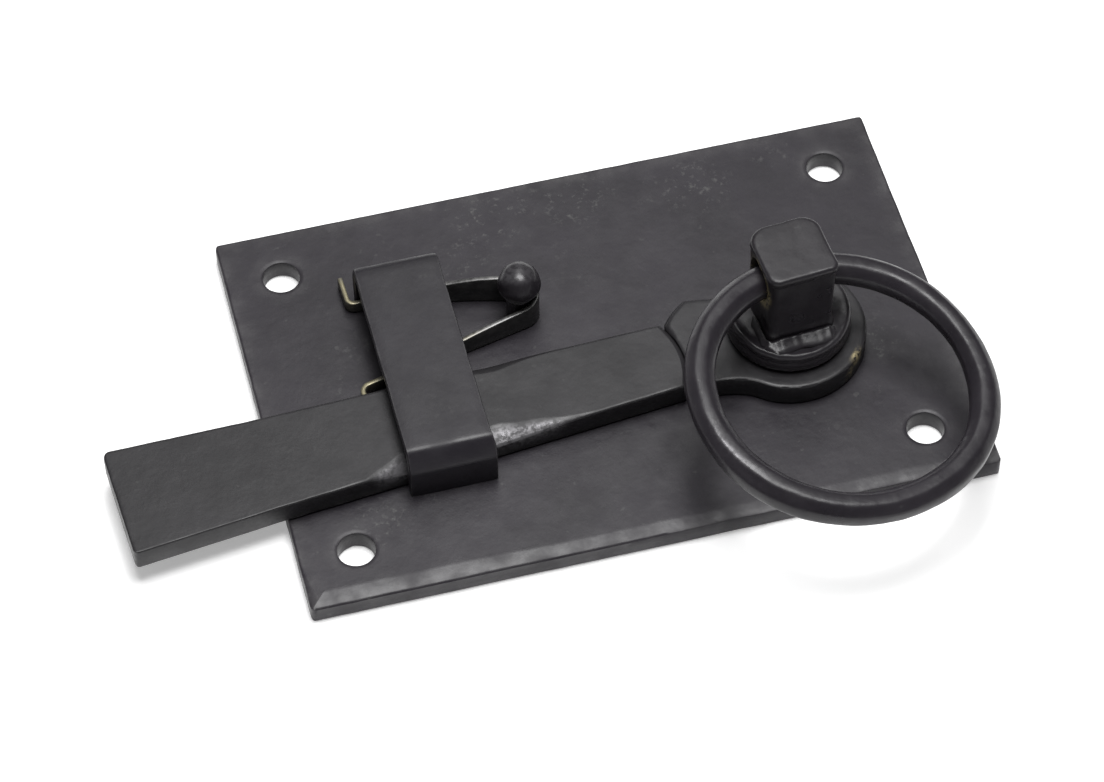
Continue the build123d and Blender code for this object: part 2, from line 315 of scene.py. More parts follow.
def waxed_iron(
    name, tint, seed, hammer=1.0, bloom=1.0, rough=0.42, wear_and_highlight=0.55, reach=0.5, patches=()
):
    """Forged iron under dark wax: mottled, finely pitted, pale bloom in patches, lighter on edges,
    partly from wear and partly as a painted edge highlight.

    The bare attribute shows brassy metal; the polish attribute paints the iron lighter and glossier,
    partly rubbed metal and partly a painted highlight.
    """
    n = Nodes(name)
    clouds = n.noise(26, 4, 0.6, seed)
    dents = n.noise(4.2, 3, 0.5, seed + 3)
    pits = n.noise(1.1, 4, 0.6, seed + 5)
    grain = n.noise(0.28, 2, 0.6, seed + 8)
    dark = tuple(c * 0.80 for c in tint[:3]) + (1,)
    light = tuple(c * 1.25 for c in tint[:3]) + (1,)
    base = n.blend(n.span(clouds, 0.3, 0.7), dark, light)
    base = n.blend(n.math("MULTIPLY", n.span(pits, 0.40, 0.66), 0.35), base, light)
    patch = n.span(n.noise(17, 3, 0.6, seed + 13), 0.56, 0.72, 0.0, 0.6)
    for centre, extent in patches:
        patch = n.math("MAXIMUM", patch, n.near(centre, extent))
    fleck = n.span(n.noise(1.7, 6, 0.72, seed + 17), 0.53, 0.72)
    pale = n.math("MULTIPLY", n.math("MULTIPLY", patch, fleck), 0.85 * bloom)
    base = n.blend(pale, base, WAX_BLOOM)
    few = n.span(n.noise(2.6, 2, 0.5, seed + 23), 0.70, 0.76)
    base = n.blend(n.math("MULTIPLY", few, 0.35 * bloom), base, WAX_SPECK)
    # Edges are painted lighter by how sharply the surface turns: partly wear, partly a painted
    # highlight
    worn_and_highlit_edge = n.span(n.edges(reach), 0.015, 0.22)
    worn_and_highlit = n.math("MULTIPLY", worn_and_highlit_edge, n.span(dents, 0.3, 0.75, 0.15, 1.0))
    base = n.blend(n.math("MULTIPLY", worn_and_highlit, wear_and_highlight), base, EDGE_WEAR_AND_HIGHLIGHT)
    bare = n.attribute("bare")
    base = n.blend(n.math("MULTIPLY", bare, n.span(pits, 0.36, 0.56)), base, BARE_METAL)
    # Painted highlight with rubbed iron: lighter colour wherever the polish attribute is set
    polish_and_highlight = n.math("MULTIPLY", n.attribute("polish_and_highlight"), n.span(pits, 0.38, 0.58, 0.25, 1.0))
    base = n.blend(polish_and_highlight, base, RUBBED_IRON_AND_HIGHLIGHT)
    n.plug(base, n.shader.inputs["Base Color"])
    gloss = n.span(n.noise(6.5, 3, 0.55, seed + 29), 0.3, 0.7, rough - 0.07, rough + 0.09)
    smoothed = n.math("ADD", n.math("MULTIPLY", worn_and_highlit, 0.06), n.math("MULTIPLY", polish_and_highlight, 0.15))
    n.plug(n.math("SUBTRACT", gloss, smoothed), n.shader.inputs["Roughness"])
    metal = n.math("ADD", n.math("MULTIPLY", bare, 0.7), n.math("MULTIPLY", polish_and_highlight, 0.35))
    n.plug(metal, n.shader.inputs["Metallic"])
    n.shader.inputs["Specular IOR Level"].default_value = 0.32
    dented = n.relief(dents, 0.55 * hammer, 0.00022)
    pitted = n.relief(pits, 0.45, 0.00006, dented)
    n.plug(n.relief(grain, 0.35, 0.00002, pitted), n.shader.inputs["Normal"])
    return n.material


def spring_steel(name):
    """Strip with a dark face and lighter edges, ground bare metal with a painted highlight, yellowish
    where it was heated.
    """
    n = Nodes(name)
    streaks = n.noise(1.6, 3, 0.6, 2, (1, 1, 6))
    spots = n.noise(2.4, 4, 0.65, 9)
    ground_and_highlight = n.attribute("ground_and_highlight")
    heated = n.attribute("heated")
    dark = n.blend(n.span(spots, 0.35, 0.7), grey(0.022), grey(0.048, 0.02))
    bright = n.blend(n.span(streaks, 0.3, 0.7), grey(0.09), grey(0.17, 0.02))
    bright = n.blend(heated, bright, HEATED_STEEL)
    # lighter where ground metal and painted highlight are marked
    ground_and_highlight_share = n.math("MULTIPLY", ground_and_highlight, n.span(spots, 0.2, 0.5, 0.6, 1.0))
    n.plug(n.blend(ground_and_highlight_share, dark, bright), n.shader.inputs["Base Color"])
    n.plug(n.span(ground_and_highlight, 0, 1, 0.05, 0.8), n.shader.inputs["Metallic"])
    n.plug(n.span(streaks, 0.2, 0.8, 0.30, 0.48), n.shader.inputs["Roughness"])
    n.plug(n.relief(streaks, 0.4, 0.00005), n.shader.inputs["Normal"])
    return n.material


def studio_white(name):
    n = Nodes(name)
    n.plug(n.blend(n.noise(60, 2, 0.5), grey(0.88), grey(0.90)), n.shader.inputs["Base Color"])
    n.shader.inputs["Roughness"].default_value = 0.9
    n.shader.inputs["Emission Color"].default_value = (1, 1, 1, 1)
    n.shader.inputs["Emission Strength"].default_value = 0.33
    n.shader.inputs["Specular IOR Level"].default_value = 0.1
    return n.material


# Places on the plate where the wax has bloomed, and how far each patch reaches, in mm
BLOOM = (
    ((-43, -25, 5), 7),
    ((-14, 45, 5), 15),
    ((6, 44, 5), 12),
    ((-22, 33, 5), 10),
    ((33, 40, 5), 12),
    ((-57, -33, 5), 9),
    ((60, -12, 5), 9),
)
PLATE_IRON = waxed_iron(
    "plate_iron", (0.0162, 0.0139, 0.0182), 1.0, hammer=0.8, wear_and_highlight=0.40, reach=9.0, patches=BLOOM
)
KEEPER_IRON = waxed_iron(
    "keeper_iron", (0.0136, 0.0120, 0.0155), 31.0, hammer=0.6, bloom=0.5, wear_and_highlight=0.8, reach=0.9
)
BAR_IRON = waxed_iron("bar_iron", (0.0152, 0.0143, 0.0160), 57.0, hammer=0.8, bloom=0.7, wear_and_highlight=0.30)
HANDLE_IRON = waxed_iron(
    "handle_iron", (0.0156, 0.0138, 0.0166), 83.0, hammer=0.9, bloom=0.6, rough=0.34, wear_and_highlight=0.8
)
RING_IRON = waxed_iron(
    "ring_iron", (0.0162, 0.0140, 0.0176), 97.0, hammer=1.0, bloom=0.6, rough=0.34, wear_and_highlight=0.6
)
SPRING_STEEL = spring_steel("spring_steel")
WHITE = studio_white("studio_white")


def mark(piece, name, value):
    """Stores value(point in mm, normal) on each vertex under that name."""
    layer = piece.data.attributes.new(name, "FLOAT", "POINT")
    numbers = [value(v.co * 1000, v.normal) for v in piece.data.vertices]
    layer.data.foreach_set("value", numbers)
    return piece


# ---- Backplate ----------------------------------------------------------------------------------


def front_bevel(x):
    """Width of the forged bevel along the plate's front edge."""
    return 2.4 + 0.8 * (1 - smooth(-76, -8, x)) + 0.30 * wobble((x, 0, 0), 9, 1)


def plate_outline():
    half_x, half_y, r = PLATE_LENGTH / 2, PLATE_WIDTH / 2, PLATE_CORNER
    points = []
    for k, (cx, cy, start) in enumerate(CORNERS):
        points += arc((cx * (half_x - r), cy * (half_y - r)), r, start, start + 90, 7)
        nx, ny, _ = CORNERS[(k + 1) % 4]
        x, y = half_x - (r if nx != cx else 0), half_y - (r if ny != cy else 0)
        points += line(points[-1], (nx * x, ny * y), 1.6)[1:]
    return points


def plate_ring(outline, inset, z, bevel, drop):
    """The outline moved in by inset and, along the front edge, by a share of the forged bevel.

    The plate is a little out of square: its right edge moves out towards the front.
    """
    half_x, half_y = PLATE_LENGTH / 2, PLATE_WIDTH / 2
    moved = []
    for p in outline:
        wave = 0.16 * abs(wobble((p.x, p.y, 0), 11, 3)) + 0.10 * abs(wobble((p.x, p.y, 0), 3.5, 4))
        left = half_x - inset - wave
        spread = 0.8 * (1 - smooth(-50, 45, p.y)) * smooth(60, 76, p.x)
        back = half_y - inset - wave
        front = back - bevel * front_bevel(p.x)
        corner = bevel * 2.9 * (1 - smooth(-48, -39, p.y))
        x = min(max(p.x + spread, -left + corner), left + spread)
        y = min(max(p.y, -front), back)
        low = drop * (1 - smooth(-50.8, -43, p.y)) * (0.78 - 0.36 * smooth(-20, 25, p.x))
        moved.append(Vector((x, y, z - low)))
    return moved


def round_loop(centre, radius, z, count=48, rough=0.0, seed=0):
    points = []
    for i in range(count):
        t = 2 * pi * i / count
        r = radius + rough * wobble((cos(t) * 4, sin(t) * 4, z), 1.7, seed)
        points.append(Vector((centre[0] + r * cos(t), centre[1] + r * sin(t), z)))
    return points


def slot_loop(x, y, grown, z):
    half_x, half_y = TENON_HALF_WIDTH + grown, TENON_HALF_THICKNESS + grown
    corners = ((-1, -1), (1, -1), (1, 1), (-1, 1))
    return [Vector((x + a * half_x, y + b * half_y, z)) for a, b in corners]


def make_plate():
    m = Mesh()
    outline = plate_outline()
    top = PLATE_THICKNESS
    rims = (
        (0.60, 0.0, 0, 0),
        (0.16, 0.12, 0, 0),
        (0.0, 0.55, 0, 0),
        (0.0, 2.4, 0, 0),
        (0.0, top - 0.55, 0, 0.45),
        (0.10, top - 0.24, 0.02, 0.58),
        (0.28, top - 0.08, 0.10, 0.58),
        (0.42, top - 0.03, 0.50, 0.33),
        (0.52, top - 0.01, 0.94, 0.05),
        (0.66, top, 1.03, 0),
        (0.90, top, 1.07, 0),
    )
    rings = [m.loop(plate_ring(outline, *rim)) for rim in rims]
    m.skin(rings)
    above, below = [rings[-1]], [rings[0]]

    def opening(loops):
        """The wall of a hole from the back of the plate to its face."""
        wall = [m.loop(points) for points in loops]
        m.skin(wall)
        below.append(wall[0])
        above.append(wall[-1])

    for sx in (-1, 1):
        for sy in (-1, 1):
            place, seed = (sx * SCREW_X, sy * SCREW_Y), 11 + sx + 3 * sy
            burr = 0.32 if (sx, sy) == (-1, -1) else 0.06
            profile = (
                (0.9, 0.0, 0.0),
                (0.25, 0.0, 0.05),
                (0.0, 0.3, burr),
                (0.0, 2.6, burr * 0.6),
                (0.0, top - 0.55, 0.05),
                (0.12, top - 0.18, 0.06),
                (0.45, top - 0.02, 0.08),
                (1.1, top, 0.0),
            )
            opening(
                round_loop(place, SCREW_RADIUS + grown, z, rough=rough, seed=seed)
                for grown, z, rough in profile
            )
    profile = (
        (POCKET_RADIUS + 0.2, 0.0),
        (POCKET_RADIUS, 0.2),
        (POCKET_RADIUS, POCKET_DEPTH),
        (JOURNAL_HOLE, POCKET_DEPTH),
        (JOURNAL_HOLE, top),
    )
    opening(round_loop((PIVOT.x, PIVOT.y), radius, z, 64) for radius, z in profile)
    for y in TENON_PLACES:
        profile = ((1.0, 0.0), (0.0, 1.5), (0.0, top))
        opening(slot_loop(KEEPER_X, y, grown, z) for grown, z in profile)
    m.cap(*above)
    m.cap(*below)
    return m.done("plate_forged", PLATE_IRON, 34)


plate = make_plate()
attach(plate, "base")
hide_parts("backplate")

# ---- Keeper -------------------------------------------------------------------------------------


def keeper_stations():
    """Pairs of outer and inner points (y, z) along the strap, with where each lies along it."""
    outer = line((-28, 5.0), (-28, 12.2), 0.9)
    front_bend = (
        (-28, 12.6), (-27.93, 13.1), (-27.75, 13.55), (-27.45, 14.1), (-26.75, 15.2),
        (-26.0, 16.2), (-25.35, 16.88), (-24.95, 17.18), (-24.5, 17.38), (-24.0, 17.44),
    )
    outer += [Vector(p) for p in front_bend]
    outer += line((-23.4, 17.46), (24.6, 17.42), 1.2)
    outer += arc((24.9, 14.1), 3.35, 84, 0, 9)
    outer[-1].x = 28.5
    outer += line((28.5, 13.6), (28.5, 5.0), 0.9)
    outer.append(Vector((28.5, 5.0)))
    inner_corners = (
        (-25.1, 5.0), (-25.1, 13.7), (-24.2, 14.6), (24.7, 14.6), (25.6, 13.7), (25.6, 5.0),
    )
    share = [0, 8.4, 13.5, 62.7, 68.4, 76.8]
    run, total = [0.0], 0.0
    for a, b in zip(outer, outer[1:]):
        total += (b - a).length
        run.append(total)
    marks = [s * total / share[-1] for s in share]
    pairs = []
    for point, at in zip(outer, run):
        k = max(i for i in range(len(marks) - 1) if at >= marks[i] - 1e-6)
        t = (at - marks[k]) / (marks[k + 1] - marks[k])
        inner = Vector(inner_corners[k]).lerp(Vector(inner_corners[k + 1]), min(1, t))
        pairs.append((point, inner))
    return pairs


def make_keeper():
    m = Mesh()
    across = [i / 14 for i in range(15)]
    rings = []
    for outer, inner in keeper_stations():
        front = bump(outer.x, -27.2, 2.4)
        right = KEEPER_HALF + 0.55 * front + 0.12 * wobble((outer.x, outer.y, 7), 6, 21)
        left = KEEPER_HALF - 0.05 + 0.14 * wobble((outer.x, outer.y, 3), 7, 22)
        span = [(-left + (left + right) * a) for a in across]
        thick = (inner - outer).normalized()
        rows = [(-left, 0.9), (-left + 0.05, 0.45), (-left + 0.22, 0.14)]
        rows += [(x, 0.02 * wobble((x, outer.x, outer.y), 3, 23)) for x in span[1:-1]]
        rows += [(right - 0.22, 0.14), (right - 0.05, 0.45), (right, 0.9)]
        loop = [(x, outer + thick * max(0.0, sink)) for x, sink in rows]
        back = [(right, 0.7), (right - 0.25, 0.12), (0.0, 0.0), (-left + 0.25, 0.12), (-left, 0.7)]
        loop += [(x, inner - thick * sink) for x, sink in back]
        rings.append(m.loop([(KEEPER_X + x, p.x, p.y) for x, p in loop]))
    m.skin(rings)
    m.cap(rings[0])
    m.cap(rings[-1])
    for y in TENON_PLACES:
        profile = ((0.35, 0.06), (0.86, 0.16), (-0.02, 1.45), (-0.02, 5.0))
        peen = [m.loop(slot_loop(KEEPER_X, y, grown, z)) for grown, z in profile]
        m.skin(peen)
        m.cap(peen[0])
        m.cap(peen[-1])
    return m.done("keeper_strap", KEEPER_IRON, 38)


keeper = make_keeper()
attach(keeper, "base")
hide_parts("keeper")

# ---- Latch bar ----------------------------------------------------------------------------------


def bar_half(x):
    """Half width of the bar at a place along it: an even taper, then a flare out to the tip."""
    if -x < BAR_FLARE:
        rise = BAR_FLARE_HALF - BAR_ROOT_HALF
        return BAR_ROOT_HALF + rise * (-x - BAR_ROOT) / (BAR_FLARE - BAR_ROOT)
    rise = BAR_TIP_HALF - BAR_FLARE_HALF
    return BAR_FLARE_HALF + rise * (-x - BAR_FLARE) / (BAR_TIP - BAR_FLARE)


def root_end(y):
    """Where the bar's crowned root ends, at a place across it."""
    return -BAR_ROOT + BAR_ROOT_CROWN * (1 - (y / BAR_ROOT_HALF) ** 2)


def lower_facet(x):
    """Width of the facet hammered on the lower edge, widest where the keeper stands over it."""
    left = min(1, max(0, (x + 100) / 9.5))
    right = 1 - smooth(-70, -46, x) ** 0.8
    plain = 0.06 + 0.2 * smooth(-112, -100, x)
    return plain + 3.9 * left * right * (1 + 0.16 * wobble((x, 0, 0), 5, 31))


def upper_facet(x):
    return 0.3 + 1.5 * bump(x, -66, 7)


def bar_outline():
    root, flare, tip = BAR_ROOT_HALF, BAR_FLARE_HALF, BAR_TIP_HALF
    points = line((-BAR_ROOT, root), (-BAR_FLARE, flare), 1.0)
    points += line((-BAR_FLARE, flare), (-BAR_TIP, tip), 1.0)[1:-2]
    points += arc((-BAR_TIP + 2.3, tip - 2.35), 2.3, 93, 180, 8)
    points += line((-BAR_TIP, tip - 2.4), (-BAR_TIP, -tip + 1.5), 1.0)[1:]
    points += arc((-BAR_TIP + 1.4, -tip + 1.45), 1.4, 180, 267, 6)
    points += line((-BAR_TIP + 1.6, -tip + 0.06), (-BAR_FLARE, -flare), 1.0)[1:]
    points += line((-BAR_FLARE, -flare), (-BAR_ROOT, -root), 1.0)[1:]
    points += [Vector((root_end(y), y)) for y in [-root + 2 * root * i / 16 for i in range(16)]]
    return points


def bar_ring(outline, inset, z, share, drop):
    moved = []
    for p in outline:
        half = bar_half(min(p.x, -BAR_ROOT))
        wave = 0.10 * abs(wobble((p.x, p.y, 0), 9, 33)) + 0.08 * abs(wobble((p.x, p.y, 0), 3, 34))
        low, high = lower_facet(p.x), upper_facet(p.x)
        y = max(p.y, -half + inset + wave + share * low)
        y = min(y, half - inset - wave - share * high)
        x = max(p.x, -BAR_TIP + inset + wave * 0.6 + share * 0.35)
        x = min(x, root_end(y) - share * 0.9 - inset * 0.4)
        near_low = 1 - smooth(0, 3, p.y + half)
        near_high = 1 - smooth(0, 3, half - p.y)
        sink = drop * (0.38 * low * near_low + 0.45 * high * near_high + 0.45 * smooth(-27.2, -26, p.x))
        moved.append(on_bar(x, y, z - min(sink, 2.6)))
    return moved


def make_bar():
    m = Mesh()
    outline = bar_outline()
    rims = (
        (0.6, BAR_BASE, 0, 0),
        (0.15, BAR_BASE + 0.12, 0, 0),
        (0.0, BAR_BASE + 0.5, 0, 0),
        (0.0, BAR_TOP - 0.45, 0, 0.95),
        (0.06, BAR_TOP - 0.16, 0.03, 1.0),
        (0.14, BAR_TOP - 0.06, 0.12, 0.9),
        (0.20, BAR_TOP - 0.02, 0.50, 0.5),
        (0.26, BAR_TOP - 0.01, 0.95, 0.05),
        (0.38, BAR_TOP, 1.02, 0),
        (0.60, BAR_TOP, 1.06, 0),
    )
    rings = [m.loop(bar_ring(outline, *rim)) for rim in rims]
    m.skin(rings)
    m.cap(rings[0])
    m.cap(rings[-1])
    return m.done("bar_forged", BAR_IRON, 34)


def facet_polish_highlight(point, normal):
    """Where the facets on the bar's lower edge are painted lighter: hammered metal with a painted
    highlight.
    """
    dx, dy = point.x - PIVOT.x, point.y - PIVOT.y
    x = dx * cos(BAR_TILT) + dy * sin(BAR_TILT)
    y = dy * cos(BAR_TILT) - dx * sin(BAR_TILT)
    low, off = lower_facet(x), y + bar_half(min(x, -BAR_ROOT))
    on_facet = 1 - smooth(0.9 * low, 1.08 * low + 0.05, off)
    return smooth(0.8, 1.9, low) * on_facet * smooth(7.6, 8.4, point.z)


# painted highlight, with hammered brightness, on the facets of the bar's lower edge
bar = mark(make_bar(), "polish_and_highlight", facet_polish_highlight)
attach(bar, "latch")
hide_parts("latch_bar")

# ---- Bar eye ------------------------------------------------------------------------------------


def eye_outline():
    points = arc((0, 0), EYE_RADIUS, -122.9, 138, 110)
    points += line((-13.4, 12.0), (-19.7, 14.4), 0.8)[1:]
    points += line((-19.7, 14.4), (-23.0, 11.6), 0.8)
    points += line((-23.0, 11.6), (-26.4, 8.9), 0.8)
    points += [Vector((root_end(y) + 0.12, y)) for y in [8.8 - 17.6 * i / 18 for i in range(18)]]
    points += line((-26.5, -8.9), (-17.0, -10.2), 0.8)
    points += line((-17.0, -10.2), (-12.6, -11.9), 0.8)
    points += line((-12.6, -11.9), (-9.7, -14.4), 0.8)
    return relax(points, 5)


def make_eye():
    m = Mesh()
    outline = eye_outline()
    out = outward(outline)

    def ring(inset, z, ear_drop=0.0):
        moved = []
        for p, n in zip(outline, out):
            ear = smooth(-15, -20, p.x) if p.y > 5 else 0
            place = (p.x, p.y, z)
            lump = 0.22 * abs(wobble(place, 2.6, 41)) + 0.12 * abs(wobble(place, 6, 42))
            q = p - n * (inset + lump * (0.5 + ear))
            sink = ear_drop * ear * (0.6 + 0.5 * wobble((p.x, p.y, 0), 2.4, 43))
            moved.append(on_bar(q.x, q.y, z - sink))
        return moved

    rims = (
        (0.5, BAR_BASE),
        (0.1, BAR_BASE + 0.15),
        (0.0, BAR_BASE + 0.5),
        (0.0, 8.2),
        (0.0, BAR_TOP - 0.7, 0.8),
        (0.14, BAR_TOP - 0.25, 0.8),
        (0.45, BAR_TOP - 0.06, 0.5),
        (0.85, BAR_TOP, 0.1),
        (1.5, BAR_TOP),
    )
    rings = [m.loop(ring(*rim)) for rim in rims]
    m.skin(rings)
    m.cap(rings[0])
    m.cap(rings[-1])
    return m.done("eye_forged", BAR_IRON, 40)


def bare_spots(point, normal):
    """Bare brassy spots on the eye's rim at its front right."""
    dx, dy = point.x - PIVOT.x, point.y - PIVOT.y
    angle = degrees(atan2(dy, dx))
    reach = smooth(15.9, 16.8, hypot(dx, dy))
    first = bump(angle, -44, 4.5) * smooth(8.0, 9.5, point.z)
    second = bump(angle, -54, 3) * bump(point.z, 7.6, 1.2)
    return min(1.0, reach * (first + 0.8 * second))


eye = mark(make_eye(), "bare", bare_spots)
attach(eye, "latch")
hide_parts("bar_eye")

# ---- Collar -------------------------------------------------------------------------------------


def make_collar():
    m = Mesh()
    count = 120
    profile = (
        (12.4, 11.00), (12.9, 11.06), (13.4, 11.5), (13.75, 12.3), (13.85, 13.4), (13.75, 14.3),
        (13.6, 14.75), (13.7, 15.2), (13.75, 15.8), (13.55, 16.45), (13.15, 16.85), (12.7, 16.98),
        (12.2, 16.95), (11.0, 17.0), (9.8, 17.15), (8.6, 17.3), (7.0, 17.4), (5.0, 17.4),
    )
    rings = []
    for radius, z in profile:
        points = []
        for i in range(count):
            t = 2 * pi * i / count
            angle = degrees(t)
            place = (radius * cos(t), radius * sin(t), z)
            front = angle_bump(angle, 275, 55)
            left = angle_bump(angle, 195, 32)
            r = radius - 0.16 * abs(wobble(place, 4, 51)) - 0.22 * left * bump(z, 15.2, 0.55)
            h = z
            if z > 16.3:
                rough = (0.20 + 0.45 * front) * wobble(place, 1.9, 52) + 0.30 * wobble(place, 4.2, 53)
                h += rough * smooth(16.3, 17.0, z) * (0.35 if radius > 12 else 1.0)
                h -= 0.75 * front * bump(radius, 10.9, 1.5)
                h += 0.50 * left * bump(radius, 13.0, 0.9)
            points.append((PIVOT.x + r * cos(t), PIVOT.y + r * sin(t), min(h, 17.9)))
        rings.append(m.loop(points))
    m.skin(rings)
    m.cap(rings[0])
    m.cap(rings[-1])
    return m.done("collar_forged", HANDLE_IRON, 50)


collar = make_collar()
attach(collar, "latch")
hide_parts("collar")

# ---- Spindle: squared head with the ring's cross hole --------------------------------------------

HOLE = Vector((cos(RING_ROLL) * cos(RING_YAW), cos(RING_ROLL) * sin(RING_YAW), -sin(RING_ROLL)))
REAR = Vector((-sin(RING_YAW), cos(RING_YAW), 0))
RING_NORMAL = Quaternion(HOLE, RING_DROOP) @ HOLE.cross(REAR)
RING_BACK = RING_NORMAL.cross(HOLE)
CROSSING = Vector((PIVOT.x, PIVOT.y, RING_AXIS_HEIGHT))


def head_section(z, half, corners):
    """Rounded square, each corner with its own radius, in the head's turned frame."""
    points = []
    for k, ((sx, sy, start), radius) in enumerate(zip(CORNERS, corners)):
        points += arc((sx * (half - radius), sy * (half - radius)), radius, start, start + 90, 10)
        nx, ny, _ = CORNERS[(k + 1) % 4]
        shorter = half - corners[(k + 1) % 4]
        target = Vector((nx * half, ny * shorter) if nx == sx else (nx * shorter, ny * half))
        corner_end = points[-1]
        points += [corner_end.lerp(target, i / 12) for i in range(1, 12)]
    placed = []
    for p in points:
        place = (p.x, p.y, z)
        dent = 0.10 * wobble(place, 3.4, 61) + 0.14 * wobble(place, 7, 62) - 0.10
        q = p + p.normalized() * dent
        placed.append(on_head(q.x, q.y, z))
    return placed


def make_head():
    m = Mesh()
    body = (1.7, 2.6, 3.0, 2.2)
    top = (1.8, 4.0, 4.4, 2.6)
    sections = [
        (16.6, 8.0, body), (17.3, 8.05, body), (17.9, 7.95, body), (18.5, 7.8, body),
        (19.2, 7.66, body),
    ]
    for z in (20, 21.5, 23, 24.5, 26, 27.5, 29, 30.5, 32, 33.5, 34.6):
        sections.append((z, 7.58 + 0.006 * (z - 20), body))
    sections += [
        (35.2, 7.70, body), (35.6, 7.88, body), (35.95, 8.04, top), (36.5, 8.10, top),
        (36.95, 8.06, top), (37.25, 7.94, top), (37.45, 7.74, top), (37.56, 7.50, top),
        (37.6, 7.20, top), (37.62, 6.6, top),
    ]
    rings = [m.loop(head_section(*section)) for section in sections]
    m.skin(rings)
    last = head_section(*sections[-1])
    centre = Vector((PIVOT.x, PIVOT.y, 37.62))
    inner = rings[-1]
    for share in (0.8, 0.6, 0.4, 0.2):
        flat = []
        for p in last:
            q = centre.lerp(p, share)
            flat.append((q.x, q.y, 37.66 + 0.06 * wobble((q.x, q.y, 0), 3.5, 63)))
        following = m.loop(flat)
        m.skin([inner, following])
        inner = following
    m.fan(inner, (PIVOT.x, PIVOT.y, 37.66))
    m.cap(rings[0])
    head = m.done("spindle_forged", HANDLE_IRON, 55)
    # bell-mouthed hole, drilled along the ring's axis of swing
    cutter = Mesh()
    loops = []
    inside = RING_RADIUS - RING_BAR
    for along in range(-13, 14):
        radius = RING_RADIUS - sqrt(inside**2 - along**2) + 0.22
        ring = []
        for i in range(48):
            t = 2 * pi * i / 48
            out = RING_BACK * cos(t) + RING_NORMAL * sin(t)
            ring.append(CROSSING + HOLE * along + out * radius)
        loops.append(cutter.loop(ring))
    cutter.skin(loops)
    cutter.cap(loops[0])
    cutter.cap(loops[-1])
    drill = cutter.done("drill", HANDLE_IRON)
    cut = head.modifiers.new("cross_hole", "BOOLEAN")
    cut.object, cut.operation, cut.solver = drill, "DIFFERENCE", "EXACT"
    bpy.context.view_layer.update()
    evaluated = head.evaluated_get(bpy.context.evaluated_depsgraph_get())
    drilled = bpy.data.meshes.new_from_object(evaluated)
    head.modifiers.clear()
    head.data = drilled
    bpy.data.objects.remove(drill)
    # shank, journal and peened tail, seen only from the back
    tail = Mesh()
    profile = (
        (0.6, 0.34), (3.0, 0.32), (6.0, 0.34), (7.1, 0.46), (7.25, 0.62), (6.5, 1.15), (6.5, 5.3),
        (6.4, 17.0), (0.6, 17.0),
    )
    tail_loops = []
    for radius, z in profile:
        rough = 0.05 if radius > 1 else 0
        tail_loops.append(tail.loop(round_loop((PIVOT.x, PIVOT.y), radius, z, 64, rough, 66)))
    tail.skin(tail_loops)
    tail.fan(tail_loops[0], (PIVOT.x, PIVOT.y, 0.34))
    tail.fan(tail_loops[-1], (PIVOT.x, PIVOT.y, 17.0))
    shank = tail.done("shank", HANDLE_IRON)
    with bpy.context.temp_override(active_object=head, selected_editable_objects=[head, shank]):
        bpy.ops.object.join()
    head.data.set_sharp_from_angle(angle=radians(50))
    return head


def rubbed(point, normal):
    """Bare metal where the ring rubs the rim of its hole."""
    offset = point - CROSSING
    along = offset.dot(HOLE)
    away = (offset - HOLE * along).length
    front = offset.dot(RING_BACK) < 1.5
    side = smooth(4.8, 7.0, abs(along)) * (1.0 if along < 0 else 0.25)
    return side * smooth(6.9, 5.2, away) * (1.0 if front else 0.15)


spindle = mark(make_head(), "bare", rubbed)
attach(spindle, "latch")
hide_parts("spindle")


def make_bead():
    """Lumpy ridge of drawn-up metal round the front and left foot of the head."""
    m = Mesh()
    section = (
        (-0.7, 0.0), (-0.55, 0.55), (-0.1, 0.9), (0.2, 1.0), (0.5, 0.86), (1.1, 0.62), (1.9, 0.36),
        (2.7, 0.12), (3.0, -0.2),
    )
    path = line((-8.3, 1.0), (-8.3, -7.2), 0.35) + line((-8.3, -7.4), (-7.4, -8.3), 0.35)
    path += line((-7.2, -8.4), (8.0, -8.4), 0.35)
    loops = []
    for i, p in enumerate(path):
        ahead = (path[min(i + 1, len(path) - 1)] - path[max(i - 1, 0)]).normalized()
        out = Vector((ahead.y, -ahead.x))
        ends = smooth(0, 8, i) * smooth(0, 5, len(path) - 1 - i)
        broad = smooth(-7.6, -8.2, p.y)
        full = 0.15 + 0.85 * ends
        place = (p.x, p.y, 0)
        crest = (1.25 + 0.45 * wobble(place, 3.3, 71) + 0.18 * wobble(place, 1.1, 72)) * full
        spread = (0.42 + 0.58 * broad) * full * (1 + 0.22 * wobble((p.x, p.y, 5), 2.8, 73))
        ring = []
        for k, (off, height) in enumerate(section):
            q = p + out * off * spread
            if q.length > 13.0:
                q *= 13.0 / q.length
            rough = 0.16 * wobble((q.x, q.y, k), 1.3, 75) * broad if 3 < k < 8 else 0
            ring.append(on_head(q.x, q.y, 17.0 + crest * height + rough))
        ring += [Vector((end.x, end.y, 16.6)) for end in (ring[-1], ring[0])]
        loops.append(m.loop(ring))
    m.skin(loops)
    m.cap(loops[0])
    m.cap(loops[-1])
    return m.done("head_foot_ridge", HANDLE_IRON, 60)


bead = make_bead()
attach(bead, "latch")

# ---- Ring ---------------------------------------------------------------------------------------


def ring_shape(angle):
    """Radial shift of the bar's centre and change of its radius at an angle, from forging."""

    def near(at, width):
        return angle_bump(angle, at, width)

    shift = 0.24 * near(48, 26) - 0.22 * near(8, 26) + 0.12 * near(148, 26) - 0.14 * near(183, 24)
    shift += 0.18 * near(217, 24) - 0.28 * near(276, 26) + 0.24 * near(316, 22)
    swell = 0.24 * near(224, 28) - 0.32 * near(12, 26) - 0.06 * near(185, 20)
    return shift, swell


